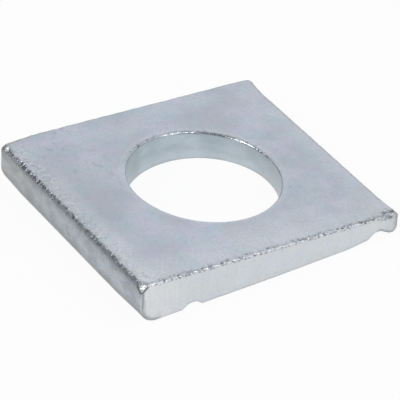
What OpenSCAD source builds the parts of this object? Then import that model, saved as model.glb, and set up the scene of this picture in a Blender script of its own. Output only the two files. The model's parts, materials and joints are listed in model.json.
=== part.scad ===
// Square taper washer for a 20 mm bolt on the inside flange of a channel.
// The bar is rolled to a wedge section with two marking grooves, sheared to width and punched.
// Origin: hole axis at the base. X runs from the thick end to the thin end, Z up.

/* [Bar section] */
// Length along the taper, from the thick end to the thin end
length = 44.5; // [40:0.5:54]
// Thickness at the thick end
thick_end = 7; // [5.5:0.1:9]
// Fall of the top face in millimetres for each 100 mm of length
taper = 7.5; // [0:0.5:9]
// Round between the thick end and the top face
shoulder_round = 1.2; // [0.4:0.1:2]
// Round between the thick end and the underside
heel_round = 2.4; // [0.5:0.1:2.8]
// Height of the heel's underside above the base
heel_lift = 0.15; // [0.05:0.05:0.4]
// Round at the top of the thin end
nose_round = 1.1; // [0.4:0.1:1.3]
// Round at the bottom of the thin end
lip_round = 0.9; // [0.4:0.1:1]
// Flat underside of the lip, between its two rounds
lip_flat = 0.5; // [0.3:0.1:0.8]
// Round between the lip's flat and the lip groove
lip_ease = 0.45; // [0.2:0.05:0.6]
// Height of the thin end's lip above the base
lip_lift = 0.45; // [0.1:0.05:0.6]

/* [Marking grooves] */
// Distance from the thick end to the middle of the heel groove
heel_groove_at = 8.75; // [7:0.25:9]
// Width of the heel groove at its mouth
heel_groove_mouth = 3.4; // [2.6:0.1:4.2]
// Width of the heel groove at its crown
heel_groove_crown = 1.2; // [0.8:0.1:1.5]
// Height of the heel groove's crown above the base
heel_groove_depth = 0.9; // [0.6:0.05:1.3]
// Distance from the thin end to the middle of the lip groove's crown
lip_groove_at = 3.65; // [3.4:0.05:4.2]
// Width of the lip groove's crown
lip_groove_crown = 1; // [0.8:0.1:1.4]
// Height of the lip groove's crown above the base
lip_groove_depth = 1.4; // [1:0.05:1.7]
// Run of the lip groove's steep side
lip_groove_side = 1.3; // [0.9:0.1:1.6]
// Length of the ramp from the base up to the lip groove
ramp_run = 3.2; // [2:0.1:4]
// Rise of that ramp
ramp_rise = 0.45; // [0.2:0.05:0.6]
// Round where that ramp leaves the base
ramp_round = 3; // [1:0.5:8]
// Round at the mouths of the grooves
mouth_round = 0.35; // [0.1:0.05:0.5]
// Round at the crowns of the grooves
crown_round = 0.35; // [0.1:0.05:0.45]

/* [Shearing] */
// Width between the two sheared faces
width = 40; // [34:0.5:50]
// Depth to which the top edge rolls over at a sheared face
shear_roll = 0.55; // [0.2:0.05:0.8]
// Round on the two upright corners of the thick end
heel_corner_round = 0.9; // [0.3:0.1:1.2]
// Round on the two upright corners of the thin end
lip_corner_round = 0.25; // [0.15:0.05:0.6]

/* [Punched hole] */
// Diameter of the hole
hole_d = 23; // [19:0.5:28]
// Distance from the thick end to the hole's axis
hole_at = 23.3; // [19:0.1:25]
// Depth to which the rim rolls over where the punch went in
rim_roll = 0.5; // [0.2:0.05:0.8]

/* [Hidden] */
$fn = 144;
// How far a cutter reaches past the surface it cuts
overrun = 1;
// Height of every upright cutter, which stands half above and half below the base
through = 2 * (thick_end + overrun);
// Length of the cutters along the sheared edges, well past both ends
edge_cutter_length = 2 * length;
thick_x = -hole_at;
thin_x = thick_x + length;
heel_groove_x = thick_x + heel_groove_at;
lip_groove_x = thin_x - lip_groove_at;
lip_groove_mouth_x = lip_groove_x - lip_groove_crown / 2 - lip_groove_side;
tilt = atan(taper / 100);
// A rolled edge meets both of its faces at this slight angle, so it stays a visible line
roll_edge_angle = 14;
// Largest share of an edge that the round at one of its ends may take
edge_share = 0.49;
// How far the kite that holds a corner's arc reaches past the two edges, counted in radii
kite_spread = 1.5;
// Every arc sits this much nearer its corner than a tangent one, so it cleanly crosses both edges
arc_bite = 0.0005;

// Height of the top face above the base
function top_z(x) = thick_end - taper / 100 * (x - thick_x);

function unit(v) = v / norm(v);

// Whether the path from a through b to c bends to the left at b
function turns_left(a, b, c) = (b.x - a.x) * (c.y - b.y) > (b.y - a.y) * (c.x - b.x);

// The piece between the corner b of the path a, b, c and the arc that rounds it.
// The radius is held to what the shorter of the two edges has room for.
module corner_piece(a, b, c, radius) {
    u = unit(a - b);
    v = unit(c - b);
    inward = unit(u + v);
    half = acos(u * v) / 2;
    r = min(radius, min(norm(a - b), norm(c - b)) * edge_share * tan(half));
    centre = b + inward * r / sin(half);
    ends = [for (way = [u, v]) centre + (b + way * r / tan(half) - centre) * kite_spread];
    difference() {
        polygon([b - inward * r, ends[0], centre, ends[1]]);
        translate(centre - inward * arc_bite)
            circle(r);
    }
}

// Corner pieces of a closed path, either those that stick out or those that fold in
module corner_pieces(points, radii, outward) {
    count = len(points);
    for (i = [0 : count - 1]) {
        a = points[(i + count - 1) % count];
        c = points[(i + 1) % count];
        if (turns_left(a, points[i], c) == outward)
            corner_piece(a, points[i], c, radii[i]);
    }
}

// Outline from corners [x, y, radius], anticlockwise, with every corner rounded by a true arc
module rounded_outline(corners) {
    points = [for (p = corners) [p.x, p.y]];
    radii = [for (p = corners) p.z];
    difference() {
        polygon(points);
        corner_pieces(points, radii, true);
    }
    corner_pieces(points, radii, false);
}

// Section of the rolled bar, seen from the front with the thick end on the left
module bar_section() {
    rounded_outline([
        [thick_x, heel_lift, heel_round],
        [heel_groove_x - heel_groove_mouth / 2, heel_lift, mouth_round],
        [heel_groove_x - heel_groove_crown / 2, heel_groove_depth, crown_round],
        [heel_groove_x + heel_groove_crown / 2, heel_groove_depth, crown_round],
        [heel_groove_x + heel_groove_mouth / 2, 0, mouth_round],
        [lip_groove_mouth_x - ramp_run, 0, ramp_round],
        [lip_groove_mouth_x, ramp_rise, mouth_round],
        [lip_groove_x - lip_groove_crown / 2, lip_groove_depth, crown_round],
        [lip_groove_x + lip_groove_crown / 2, lip_groove_depth, crown_round],
        [thin_x - lip_round - lip_flat, lip_lift, lip_ease],
        [thin_x, lip_lift, lip_round],
        [thin_x, top_z(thin_x), nose_round],
        [thick_x, top_z(thick_x), shoulder_round]
    ]);
}

// Waste outside a rolled edge whose corner is at the origin and whose body lies in -x, -y
module roll_waste(depth) {
    r = depth / (cos(roll_edge_angle) - sin(roll_edge_angle));
    inset = r * cos(roll_edge_angle);
    difference() {
        translate([-inset, -inset])
            square(inset + overrun);
        translate([-inset, -inset])
            circle(r);
    }
}

// Waste along the top edge of the sheared face at +width / 2, parallel to the sloping top
module sheared_edge_waste() {
    translate([0, width / 2, top_z(0)])
        rotate([0, tilt, 0])
            rotate([90, 0, 90])
                linear_extrude(edge_cutter_length, center = true)
                    roll_waste(shear_roll);
}

// Waste outside an upright corner at the origin whose body lies in -x, -y
module upright_corner_waste(depth) {
    linear_extrude(through, center = true)
        roll_waste(depth);
}

// The rim's rolled edge, square to the sloping top face
module rim_waste() {
    translate([0, 0, top_z(0)])
        rotate([0, tilt, 0])
            rotate_extrude()
                translate([hole_d / 2, 0])
                    mirror([1, 0])
                        roll_waste(rim_roll);
}

// Everything that the punch takes out
module punch_waste() {
    cylinder(h = through, d = hole_d, center = true);
    rim_waste();
}

// The whole washer: a length of the bar, sheared on both sides and punched
module taper_washer() {
    color([0.74, 0.77, 0.79])
        difference() {
            rotate([90, 0, 0])
                linear_extrude(width, center = true)
                    bar_section();
            for (side = [0, 1])
                mirror([0, side, 0]) {
                    sheared_edge_waste();
                    translate([thin_x, width / 2, 0])
                        upright_corner_waste(lip_corner_round);
                    translate([thick_x, width / 2, 0])
                        mirror([1, 0, 0])
                            upright_corner_waste(heel_corner_round);
                }
            punch_waste();
        }
}

taper_washer();
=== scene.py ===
# %% [markdown]
# # A square taper washer in bright zinc plate
#
# The real thing is a small steel block, 44.5 by 40 mm, that a bolt goes through when it holds
# down the sloping flange of a beam. A mill rolls it as a long bar with the taper, two marking
# grooves and rounded ends already in its section. A press then shears the bar into squares and
# punches the hole, and a bath covers everything with a thin coat of zinc.
#
# Its looks come from that history. Two ends and both faces are rolled, so they are smooth and
# softly rounded. The two long sides and the hole are sheared, so they are paler, streaked up and
# down, and torn along their upper edges. This script keeps to that order: shape, wear, finish,
# and then the light and the camera.

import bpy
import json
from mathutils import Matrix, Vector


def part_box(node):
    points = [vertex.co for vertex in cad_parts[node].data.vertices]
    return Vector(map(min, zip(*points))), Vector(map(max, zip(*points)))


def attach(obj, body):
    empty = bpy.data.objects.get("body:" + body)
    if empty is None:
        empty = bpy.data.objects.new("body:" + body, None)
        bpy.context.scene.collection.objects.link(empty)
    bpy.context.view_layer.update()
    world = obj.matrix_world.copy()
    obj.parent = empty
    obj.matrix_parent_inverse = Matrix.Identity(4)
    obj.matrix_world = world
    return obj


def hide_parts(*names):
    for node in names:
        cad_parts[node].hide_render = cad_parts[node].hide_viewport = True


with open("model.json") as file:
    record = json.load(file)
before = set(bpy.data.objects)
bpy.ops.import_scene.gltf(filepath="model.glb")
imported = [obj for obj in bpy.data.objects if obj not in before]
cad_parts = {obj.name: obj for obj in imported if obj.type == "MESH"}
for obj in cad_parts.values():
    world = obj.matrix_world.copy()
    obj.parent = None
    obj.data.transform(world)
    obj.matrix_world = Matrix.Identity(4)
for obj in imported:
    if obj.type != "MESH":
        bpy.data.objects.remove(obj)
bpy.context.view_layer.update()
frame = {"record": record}

# %% [markdown]
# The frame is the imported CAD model: its bodies, its solid and its record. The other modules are
# Blender's own, and numpy, which moves a hundred thousand points at once.

# %% Other modules
import json
import math

import bmesh
import bpy
import numpy as np
from mathutils import Matrix, Vector, noise

print("Blender", bpy.app.version_string)

# %% [markdown]
# ## Sizes
#
# Blender counts in metres, but a washer is easier to think about in millimetres. So the shape is
# worked out in millimetres and made smaller by a thousand at the end. The outer box comes from
# the CAD node, and the hole and the slope come from the record's mounts, so the visible mesh and
# the CAD part can't drift apart. Only the small things are written here: the corner radii and
# the line of the underside, which the CAD section has too.

# %% Sizes of the CAD part, in millimetres
MM = 0.001
low_corner, high_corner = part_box("taper_washer")
mounts = {mount["name"]: mount for mount in frame["record"]["mounts"]}
thick_end = low_corner.x / MM
thin_end = high_corner.x / MM
half_width = high_corner.y / MM
hole_radius = mounts["bolt_hole"]["dims"]["r_mm"]
top_at_hole = mounts["taper_face"]["pos_m"][2] / MM
face_normal = mounts["taper_face"]["axis"]
slope = face_normal[0] / face_normal[2]
print(f"x {thick_end:.2f} to {thin_end:.2f}, width {2 * half_width:.2f}, hole {2 * hole_radius:.1f} mm")
print(f"top is {top_at_hole:.3f} mm high over the hole and falls {100 * slope:.2f} %")

# %% [markdown]
# ## The edges
#
# No two edges of the washer are alike. The mill's rolls leave wide, even rounds at the shoulder,
# the heel and the nose. The shear pulls the skin down over the upper edge of each side, more on
# the far side than on the near one. Bevels would do for a plain block, but their widths don't
# change along an edge. So the radii are plain numbers, and the next cells blend them into one
# another. They were read from the photograph. The underside is a line of corners.

# %% Corner radii and the underside
SHOULDER = 1.2
NOSE = 1.1
NOSE_TIGHTER_AT_SIDES = 0.5
NOSE_TIGHTER_AT_FAR_SIDE = 0.25
HEEL = 2.4
HEEL_WIDER_AT_SIDES = 0.45
LIP = 0.9
SHEAR_ROLL = 0.43
FAR_ROLL = 0.62
SHEAR_FOOT = 0.12
FAR_CORNER_DRAG = 0.65
FAR_CORNER_TUCK = 0.25
NEAR_UPRIGHT = 0.4
FAR_UPRIGHT = 1.25
NEAR_NOSE_UPRIGHT = 0.36
FAR_NOSE_UPRIGHT = 0.95
RIM_ROLL = 0.7
RIM_TIGHT = 0.21
RIM_MORE_AT_BACK = 0.14
RIM_MORE_AT_LEFT = 0.2
RIM_FOOT = 0.1
STRUCK_ROUND = 0.22
UNDERSIDE = [
    (-23.3, 0.15), (-16.25, 0.15), (-15.15, 0.9), (-13.95, 0.9), (-12.85, 0.08), (0.0, 0.0),
    (12.55, 0.08), (15.85, 0.45), (17.1, 1.4), (18.05, 1.4), (19.8, 0.4), (21.2, 0.4),
]
GROOVE_LINES = [x for x, z in UNDERSIDE[1:-1] if x]
print("groove lines at x =", GROOVE_LINES)

# %% [markdown]
# ## The shape as a distance
#
# A box with bevels would give the rough shape, but here every edge has its own roundness, it
# changes along the way, and the sheared edges are uneven. So the shape is described in another
# way. Each face gives a number for any point: how far the point lies outside that face, which is
# negative inside. The largest of these numbers is the distance from the whole washer. Where two
# faces meet, a small formula blends the two numbers, and that makes a rounded edge of any radius.
#
# Later on, points of a plain mesh walk along the slope of this distance until it is zero. They
# then lie on the washer's skin, and on its rounded edges too.

# %% Heights of the two rolled faces
def top_height(x):
    """Height of the sloping top."""
    return top_at_hole - slope * x


def underside_height(x):
    """Height of the grooved underside, with its corners softened by a short average."""
    corner_x, corner_z = np.array(UNDERSIDE).T
    shifts = np.linspace(-0.22, 0.22, 9)
    return np.mean([np.interp(x + shift, corner_x, corner_z) for shift in shifts], axis=0)


ends = np.array([thick_end, thin_end])
print("thickness at the ends:", (top_height(ends) - underside_height(ends)).round(2))


# %% Rounding and easing
def rounded(first, second, radius):
    """The larger of two distances, with the corner between their faces rounded."""
    corner = np.hypot(np.maximum(first + radius, 0), np.maximum(second + radius, 0))
    return np.minimum(np.maximum(first, second), -radius) + corner


def ease(value, start, end):
    """0 before start, 1 after end, and a smooth step between them."""
    share = np.clip((value - start) / (end - start), 0, 1)
    return share * share * (3 - 2 * share)


print("ease halfway:", ease(np.array([0.5]), 0, 1))

# %% [markdown]
# A sheared edge is never even. The blade first bends the bar's skin and then tears it, so the
# roll along the edge is wider in one place and tighter in the next. A list of seeded random
# numbers, joined by straight lines, is enough for that: it costs next to nothing, and each run
# gives the same edge.

# %% Uneven lines
def wander(along, pitch, seed):
    """Uneven numbers from -1 to 1 along a line, a new one at each pitch."""
    spots = np.arange(-60, 60, pitch)
    values = np.random.default_rng(seed).uniform(-1, 1, len(spots))
    return np.interp(along, spots, values)


print("first steps of an uneven line:", wander(np.arange(3), 0.9, 4).round(2))


# %% [markdown]
# Each face is simple on its own. The top is a sloping plane, the sides and the ends are upright
# planes, and the bore is a cylinder. Only the underside isn't flat, so there the height over it is
# divided by its steepness, which gives a distance that is good enough near the skin.

# %% Distance from each face
def face_distances(points):
    """How far the points lie outside the top, underside, two ends, two sides and the hole."""
    x, y, z = points.T
    step = 0.05
    dip = (underside_height(x + step) - underside_height(x - step)) / (2 * step)
    top = (z - top_height(x)) / math.hypot(1, slope)
    underside = (underside_height(x) - z) / np.hypot(1, dip)
    sides = np.abs(y) - half_width
    hole = hole_radius - np.hypot(x, y)
    return np.array([top, underside, thick_end - x, x - thin_end, sides, hole])


at_rim = np.array([[hole_radius, 0, top_height(hole_radius)]])
print("distances at the hole's rim:", face_distances(at_rim).round(3).ravel())

# %% [markdown]
# A sheared side meets the section with a roll at the top and an almost sharp edge at the foot,
# and its upright corners have radii of their own. All of them are the same round in different
# widths, so one function hands out the radius for any place, and eases from one to the next.

# %% Radius along the sheared sides
def side_radius(points, top, thick, thin):
    """Radius where a sheared side meets the section: rolled at the top, tight below."""
    x, y, z = points.T
    far = y > 0
    unevenness = np.where(far, 0.1, 0.3) * wander(x + 3 * np.sign(y), 0.9, 5)
    roll = np.where(far, FAR_ROLL, SHEAR_ROLL) * (1 + unevenness)
    drag = FAR_CORNER_DRAG * ease(-thick, 6.5, 1.5) + FAR_CORNER_TUCK * ease(-thick, 1.6, 0.4)
    roll = roll + np.where(far, drag, 0)
    radius = SHEAR_FOOT + (roll - SHEAR_FOOT) * ease(-top, 1.8, 0.5)
    upright = np.where(far, FAR_UPRIGHT + ease(z, 2.4, 0.6), NEAR_UPRIGHT)
    radius = radius + (upright - radius) * ease(-thick, 1.1, 0.1) * ease(-top, 0.1, 1.2)
    nose_upright = np.where(far, FAR_NOSE_UPRIGHT, NEAR_NOSE_UPRIGHT)
    return radius + (nose_upright - radius) * ease(-thin, 0.8, 0.1)


print("far roll", FAR_ROLL, "mm, near roll", SHEAR_ROLL, "mm")

# %% [markdown]
# The punch rolls the hole's rim over on the near side and leaves it tight on the far one. The
# angle round the hole's axis says which, and a cosine of it changes smoothly, with no seam.

# %% Radius round the rim
def round_the_hole(points, degrees):
    """1 where the rim lies at that angle round the hole's axis, -1 on the other side."""
    reach = np.maximum(np.hypot(points[:, 0], points[:, 1]), 1)
    angle = math.radians(degrees)
    return (math.cos(angle) * points[:, 0] + math.sin(angle) * points[:, 1]) / reach


def rim_radius(points, top):
    """Radius of the hole's rim: well rolled on the near side, tight on the far one."""
    roll = RIM_TIGHT + (RIM_ROLL - RIM_TIGHT) * ease(round_the_hole(points, -84), 0.15, 0.95)
    roll = roll + RIM_MORE_AT_BACK * ease(round_the_hole(points, 50), 0.45, 0.95)
    roll = roll + RIM_MORE_AT_LEFT * ease(round_the_hole(points, 180), 0.5, 0.95)
    return RIM_FOOT + (roll - RIM_FOOT) * ease(-top, 1.6, 0.6)


print("rim radius on the near side:", rim_radius(np.array([[0, -hole_radius, 0]]), 0).round(2))

# %% [markdown]
# Now the faces are joined, in the order in which the washer is made. First come the rolled
# rounds of the section, then the sheared sides. The small flat where the near upper corner was
# struck is one more plane across it, and the hole comes last.

# %% Distance from the washer
STRUCK_CORNER = np.array([thick_end + 0.49, -half_width + 0.37, top_height(thick_end) - 0.44])
STRUCK_FACING = np.array([-0.64, -0.33, 0.69])


def struck_corner(points):
    """Distance from the small flat where the near upper corner was struck."""
    return (points - STRUCK_CORNER) @ STRUCK_FACING


def skin_distance(points):
    """Distance from the washer's skin, negative inside."""
    top, underside, thick, thin, sides, hole = face_distances(points)
    toward_sides = abs(points[:, 1])
    section = rounded(top, thick, SHOULDER)
    nose = NOSE - NOSE_TIGHTER_AT_SIDES * ease(toward_sides, 15.5, 19)
    nose = nose - NOSE_TIGHTER_AT_FAR_SIDE * ease(points[:, 1], 17.5, 19.3)
    section = rounded(section, thin, nose)
    heel = HEEL + HEEL_WIDER_AT_SIDES * ease(toward_sides, 12, 19.5)
    section = rounded(section, underside, np.where(points[:, 0] < 0, heel, LIP))
    outside = rounded(section, sides, side_radius(points, top, thick, thin))
    outside = rounded(outside, struck_corner(points), STRUCK_ROUND)
    return rounded(outside, hole, rim_radius(points, top))


print("distance at the middle of the top:", skin_distance(np.array([[15.0, 0, top_height(15.0)]])))

# %% [markdown]
# ## A net of quads
#
# The flat faces need few points and the edges need many. The start is a coarse net of four-sided
# cells whose lines already follow what matters: the outline, the groove lines and the hole. Such
# a net shades evenly, and it can be split again and again near the edges. A voxel remesh would
# be quicker to write, but it cuts across edges and grooves.
#
# In plan the net is a plain grid with a square window, and rings of cells lead from the window's
# edge to the round hole. The top and the underside share that plan. Strips of cells close the
# outside and the bore.

# %% Grid lines
CELL = 0.5


def lines_through(stops):
    """Grid lines that pass through every stop, about one cell apart."""
    lines = []
    for start, end in zip(stops, stops[1:]):
        count = max(1, round((end - start) / CELL))
        lines += list(np.linspace(start, end, count, endpoint=False))
    return np.array(lines + [stops[-1]])


window_x = (-12.85, 12.55)
window_y = (-12.85, 12.85)
groove_sides = [x + shift for x in GROOVE_LINES for shift in (-0.25, 0, 0.25)]
x_lines = lines_through(sorted({thick_end, thin_end, *groove_sides}))
y_lines = lines_through([-half_width, *window_y, half_width])
print(len(x_lines), "lines across and", len(y_lines), "lines along")

# %% [markdown]
# Neighbouring cells have to share their points, or the mesh falls apart into loose squares. So
# each crossing of the grid gets a number once, and the cells are lists of these numbers. The
# loops of numbers round the outline and round the window are kept for the walls and the rings.

# %% Plan of the net
def loop_round(numbers, i_range, j_range):
    """Point numbers round a block of the grid, anticlockwise."""
    i_low, i_high = i_range
    j_low, j_high = j_range
    front = [numbers[i, j_low] for i in range(i_low, i_high)]
    right = [numbers[i_high, j] for j in range(j_low, j_high)]
    back = [numbers[i, j_high] for i in range(i_high, i_low, -1)]
    left = [numbers[i_low, j] for j in range(j_high, j_low, -1)]
    return front + right + back + left


def plan_net():
    """Plan points, cells, and the loops round the outline and round the hole."""
    i_window = tuple(int(np.argmin(abs(x_lines - x))) for x in window_x)
    j_window = tuple(int(np.argmin(abs(y_lines - y))) for y in window_y)
    numbers = {}
    points = []
    cells = []
    for i, x in enumerate(x_lines):
        for j, y in enumerate(y_lines):
            if i_window[0] < i < i_window[1] and j_window[0] < j < j_window[1]:
                continue
            numbers[i, j] = len(points)
            points.append((x, y))
    for i in range(len(x_lines) - 1):
        for j in range(len(y_lines) - 1):
            if i_window[0] <= i < i_window[1] and j_window[0] <= j < j_window[1]:
                continue
            corners = ((i, j), (i + 1, j), (i + 1, j + 1), (i, j + 1))
            cells.append([numbers[corner] for corner in corners])
    outline = loop_round(numbers, (0, len(x_lines) - 1), (0, len(y_lines) - 1))
    rim = loop_round(numbers, i_window, j_window)
    return points, cells, outline, rim


plan_points, plan_cells, outline, window_loop = plan_net()
print(len(plan_points), "plan points,", len(plan_cells), "cells,", len(window_loop), "round the window")

# %% [markdown]
# Seven rings of cells lead from the square window in to the round hole. Each of their points
# lies on the straight line from the window to the circle, and the rings get narrower towards the
# rim, where the round edge needs them. Shading stays even, because no cell is a long triangle.

# %% Rings from the window to the hole
RINGS = 7


def add_rings(points, cells, loop):
    """Rings of cells from the window's loop in to the hole, and the loop at the hole's rim."""
    window = np.array([points[number] for number in loop])
    circle = hole_radius * window / np.linalg.norm(window, axis=1)[:, None]
    outer = list(loop)
    for ring in range(RINGS - 1, -1, -1):
        share = (ring / RINGS) ** 1.25
        inner = list(range(len(points), len(points) + len(loop)))
        points += [tuple(point) for point in circle + (window - circle) * share]
        for here in range(len(loop)):
            there = (here + 1) % len(loop)
            cells.append([inner[here], outer[here], outer[there], inner[there]])
        outer = inner
    return outer


rim_loop = add_rings(plan_points, plan_cells, window_loop)
print(len(plan_points), "plan points with the rings")

# %% [markdown]
# The same plan serves twice, once lifted to the top and once to the underside, where the cells
# are turned over to face down. Strips of cells then join the two, round the outline and in the
# bore. The result is closed, as a solid washer has to be.

# %% Top, underside and walls
def close_wall(points, cells, low_loop, high_loop, rows):
    """Strips of cells from the underside's loop up to the top's loop."""
    low = np.array([points[number] for number in low_loop])
    high = np.array([points[number] for number in high_loop])
    row = list(low_loop)
    for step in range(1, rows + 1):
        above = list(high_loop)
        if step < rows:
            above = list(range(len(points), len(points) + len(row)))
            points += [tuple(point) for point in low + (high - low) * step / rows]
        for here in range(len(row)):
            there = (here + 1) % len(row)
            cells.append([row[here], row[there], above[there], above[here]])
        row = above


def whole_net():
    """Points and cells of the closed net, before its points settle."""
    plan = np.array(plan_points)
    count = len(plan)
    top = np.column_stack([plan, top_height(plan[:, 0])])
    underside = np.column_stack([plan, underside_height(plan[:, 0])])
    points = [tuple(point) for point in np.vstack([top, underside])]
    cells = plan_cells + [[number + count for number in reversed(cell)] for cell in plan_cells]
    close_wall(points, cells, [number + count for number in outline], outline, 12)
    inward = rim_loop[::-1]
    close_wall(points, cells, [number + count for number in inward], inward, 10)
    return points, cells


net_points, net_cells = whole_net()
print("coarse net:", len(net_points), "points,", len(net_cells), "cells")

# %% [markdown]
# ## Settling and splitting
#
# Now the net walks onto the skin. The slope of the distance is found by moving each point a hair
# along every axis, all points at once in numpy. Then every side of a cell that is too long for
# its place is cut in half, and the new points settle too. The flat faces keep cells of half a
# millimetre, the edges get a quarter, and the torn upper edges get an eighth, so that nicks can
# be real geometry there and not only bump.

# %% Settle on the skin
def skin_slope(points):
    """Direction in which the distance grows fastest, and how fast."""
    hair = 0.01
    moved = [np.eye(3)[axis] * hair for axis in range(3)]
    rise = [skin_distance(points + move) - skin_distance(points - move) for move in moved]
    return np.array(rise).T / (2 * hair)


def settle(points):
    """Moves the points along the slope until they lie on the skin."""
    for step in range(7):
        rise = skin_slope(points)
        steepness = np.maximum((rise ** 2).sum(axis=1), 0.2)
        points = points - rise * (skin_distance(points) / steepness)[:, None]
    return points


settled = settle(np.array(net_points))
print("farthest from the skin after settling:", abs(skin_distance(settled)).max())


# %% [markdown]
# How fine the net has to be depends on the place. A point is near an edge when it is near two
# faces at once, so the larger of the two distances says how near the edge is.

# %% Cell size wanted at a place
EDGE_CELL = 0.25
FOOT_CELL = 0.16
TORN_CELL = 0.125


def wanted_cell(points):
    """Cell size for each place: fine near edges, finest along the torn upper edges."""
    top, underside, thick, thin, sides, hole = -face_distances(points)
    others = np.minimum(np.minimum(thick, thin), np.minimum(sides, hole))
    from_top_edge = np.maximum(abs(top), abs(others))
    from_foot_edge = np.maximum(abs(underside), abs(others))
    from_shoulder = np.maximum(abs(top), abs(thick))
    from_upright = np.maximum(abs(sides), abs(thick))
    size = np.where(np.minimum(from_top_edge, from_foot_edge) < 1.3, EDGE_CELL, CELL)
    size = np.where(from_foot_edge < 0.3, FOOT_CELL, size)
    torn = (from_top_edge < 0.8) | (from_shoulder < 2.3) | (from_upright < 0.7)
    return np.where(torn, TORN_CELL, size)


print("cell at the shoulder:", wanted_cell(np.array([[thick_end + 0.3, 0, 6.6]])))

# %% [markdown]
# Blender's subdivide tool, called from bmesh, cuts only the sides it is given and keeps four-sided
# cells where it can. A subdivision surface would split the flat faces as often as the edges. The
# mesh is only a container here: its points are read into numpy, settled and written back.

# %% Split the long sides
LONGEST_SIDE = 1.45


def split_long_sides(mesh):
    """Cuts each side that is too long for its place, and settles the mesh again."""
    shell = bmesh.new()
    shell.from_mesh(mesh)
    middles = np.array([(edge.verts[0].co + edge.verts[1].co) / 2 for edge in shell.edges])
    lengths = np.array([edge.calc_length() for edge in shell.edges])
    too_long = lengths > LONGEST_SIDE * wanted_cell(middles)
    chosen = [edge for edge, long in zip(shell.edges, too_long) if long]
    bmesh.ops.subdivide_edges(shell, edges=chosen, cuts=1, use_grid_fill=True, use_single_edge=True)
    shell.to_mesh(mesh)
    shell.free()
    write_points(mesh, settle(read_points(mesh)))
    return len(chosen)


def read_points(mesh):
    """The mesh's points as rows of numbers."""
    flat = np.zeros(3 * len(mesh.vertices), np.float32)
    mesh.vertices.foreach_get("co", flat)
    return flat.reshape(-1, 3).astype(float)


def write_points(mesh, points):
    """Puts rows of numbers back as the mesh's points."""
    mesh.vertices.foreach_set("co", points.astype(np.float32).ravel())
    mesh.update()

print("a side is cut when it is", LONGEST_SIDE, "times too long")

# %% Make the fine mesh
washer_mesh = bpy.data.meshes.new("zinc_washer")
washer_mesh.from_pydata([tuple(point) for point in settled], [], net_cells)
for turn in range(5):
    cut = split_long_sides(washer_mesh)
    print("pass", turn + 1, "cut", cut, "sides;", len(washer_mesh.polygons), "cells now")
    if cut < 50:
        break

# %% [markdown]
# ## Wear and tool marks
#
# A perfect edge looks like plastic. On the real washer the rolled faces are a little wavy, the
# shoulder at the thick end is crinkled where the mill scale was broken off, and the sheared
# edges and the rim of the hole are chipped. All of it is a tenth of a millimetre deep or less,
# so the points only move along the direction that the skin faces. Smooth noise gives the
# amounts, and masks say where each kind of mark belongs.

# %% Lumps of noise
def lumps(points, size, seed, stretch=(1, 1, 1)):
    """Smooth noise from about -1 to 1, with lumps of that size in millimetres."""
    scaled = points / (size * np.array(stretch)) + 7.31 * seed
    return np.array([noise.noise(place) for place in scaled])


skin_points = settle(read_points(washer_mesh))
facing = skin_slope(skin_points)
facing = facing / np.linalg.norm(facing, axis=1)[:, None]
print("moved by noise:", len(skin_points), "points")

# %% [markdown]
# Two things tell what kind of skin a point is on: how far it lies inside each face, and which way
# it faces. From these come the masks, one number from 0 to 1 for each point. They could be
# painted by hand in weight paint, but then a change of size would leave the paint behind.

# %% Place and facing of each point
top_gap, foot_gap, thick_gap, thin_gap, side_gap, hole_gap = -face_distances(skin_points)
skin_x, skin_y, skin_z = skin_points.T
facing_x, facing_y, facing_z = facing.T
near_side = skin_y < 0
toward_far = ease(skin_y, -7, 0)
print("the skin is between", skin_z.min().round(3), "and", skin_z.max().round(3), "mm high")

# %% [markdown]
# The shoulder turns from the top down to the thick end's face. The dark crinkled band keeps to a
# stretch of that turn, so the turn in degrees is the best measure for it. Noise shifts the turn a
# little, which makes the band's borders ragged, and the band is narrower on the far half.

# %% Where the shoulder is crinkled
shoulder_turn = np.degrees(np.arctan2(-facing_x, facing_z))
near_thick = ease(thick_gap, 3.0, 1.6) * ease(top_gap, 4.0, 2.0)
ragged_turn = shoulder_turn + (6 + 3 * toward_far) * lumps(skin_points, 1.1, 10) - 5 * toward_far
shoulder_end = 92 - 15 * toward_far
shoulder = near_thick * ease(ragged_turn, 19, 31) * ease((shoulder_end - ragged_turn) / 46, 0, 1)
crinkled = near_thick * ease(ragged_turn, 14, 28) * ease(ragged_turn, 72, 40)
print("points on the shoulder:", int((shoulder > 0.5).sum()))

# %% [markdown]
# The shear and the punch tear the steel where they break through, so the upper edges of the
# sides and a part of the hole's rim are ragged. The corner between the thin end and the near
# side is speckled with pits, and the edge along the nose is a little uneven.

# %% Sheared faces, torn edges and the nose
sheared = facing_y ** 2 * ease(side_gap, 1.5, 0.8)
bore = ease(hole_gap, 0.55, 0.1) * ease(abs(facing_z), 0.85, 0.4)
torn_edge = ease(side_gap, 1.05, 0.5) * ease(top_gap, 0.62, 0.34) * np.where(near_side, 1, 0.4)
torn_rim = ease(hole_gap, 0.8, 0.35) * ease(top_gap, 0.42, 0.2)
torn_rim = torn_rim * (0.1 + 0.9 * ease(round_the_hole(skin_points, 66), 0.1, 0.7))
nose_corner = ease(thin_gap, 4.5, 1.4) * ease(side_gap, 2.2, 0.8) * near_side
nose_corner = nose_corner * ease(top_gap, 0.9, 0.5)
nose_edge = ease(np.maximum(thin_gap, top_gap), 1.3, 0.5)
foot_edge = ease(np.maximum(np.minimum(side_gap, hole_gap), foot_gap), 0.5, 0.1)
print("points on torn edges:", int((torn_edge > 0.5).sum()))

# %% [markdown]
# A nick is a small round-bottomed hollow. Voronoi noise gives the distance to the nearest of many
# scattered points, and close to each of them the skin goes down. Stretching the coordinates first
# draws the nicks out along an edge, and slanting them gives the teeth of the shoulder. Around the
# struck corner there are none, because the blow pressed them flat.

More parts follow.
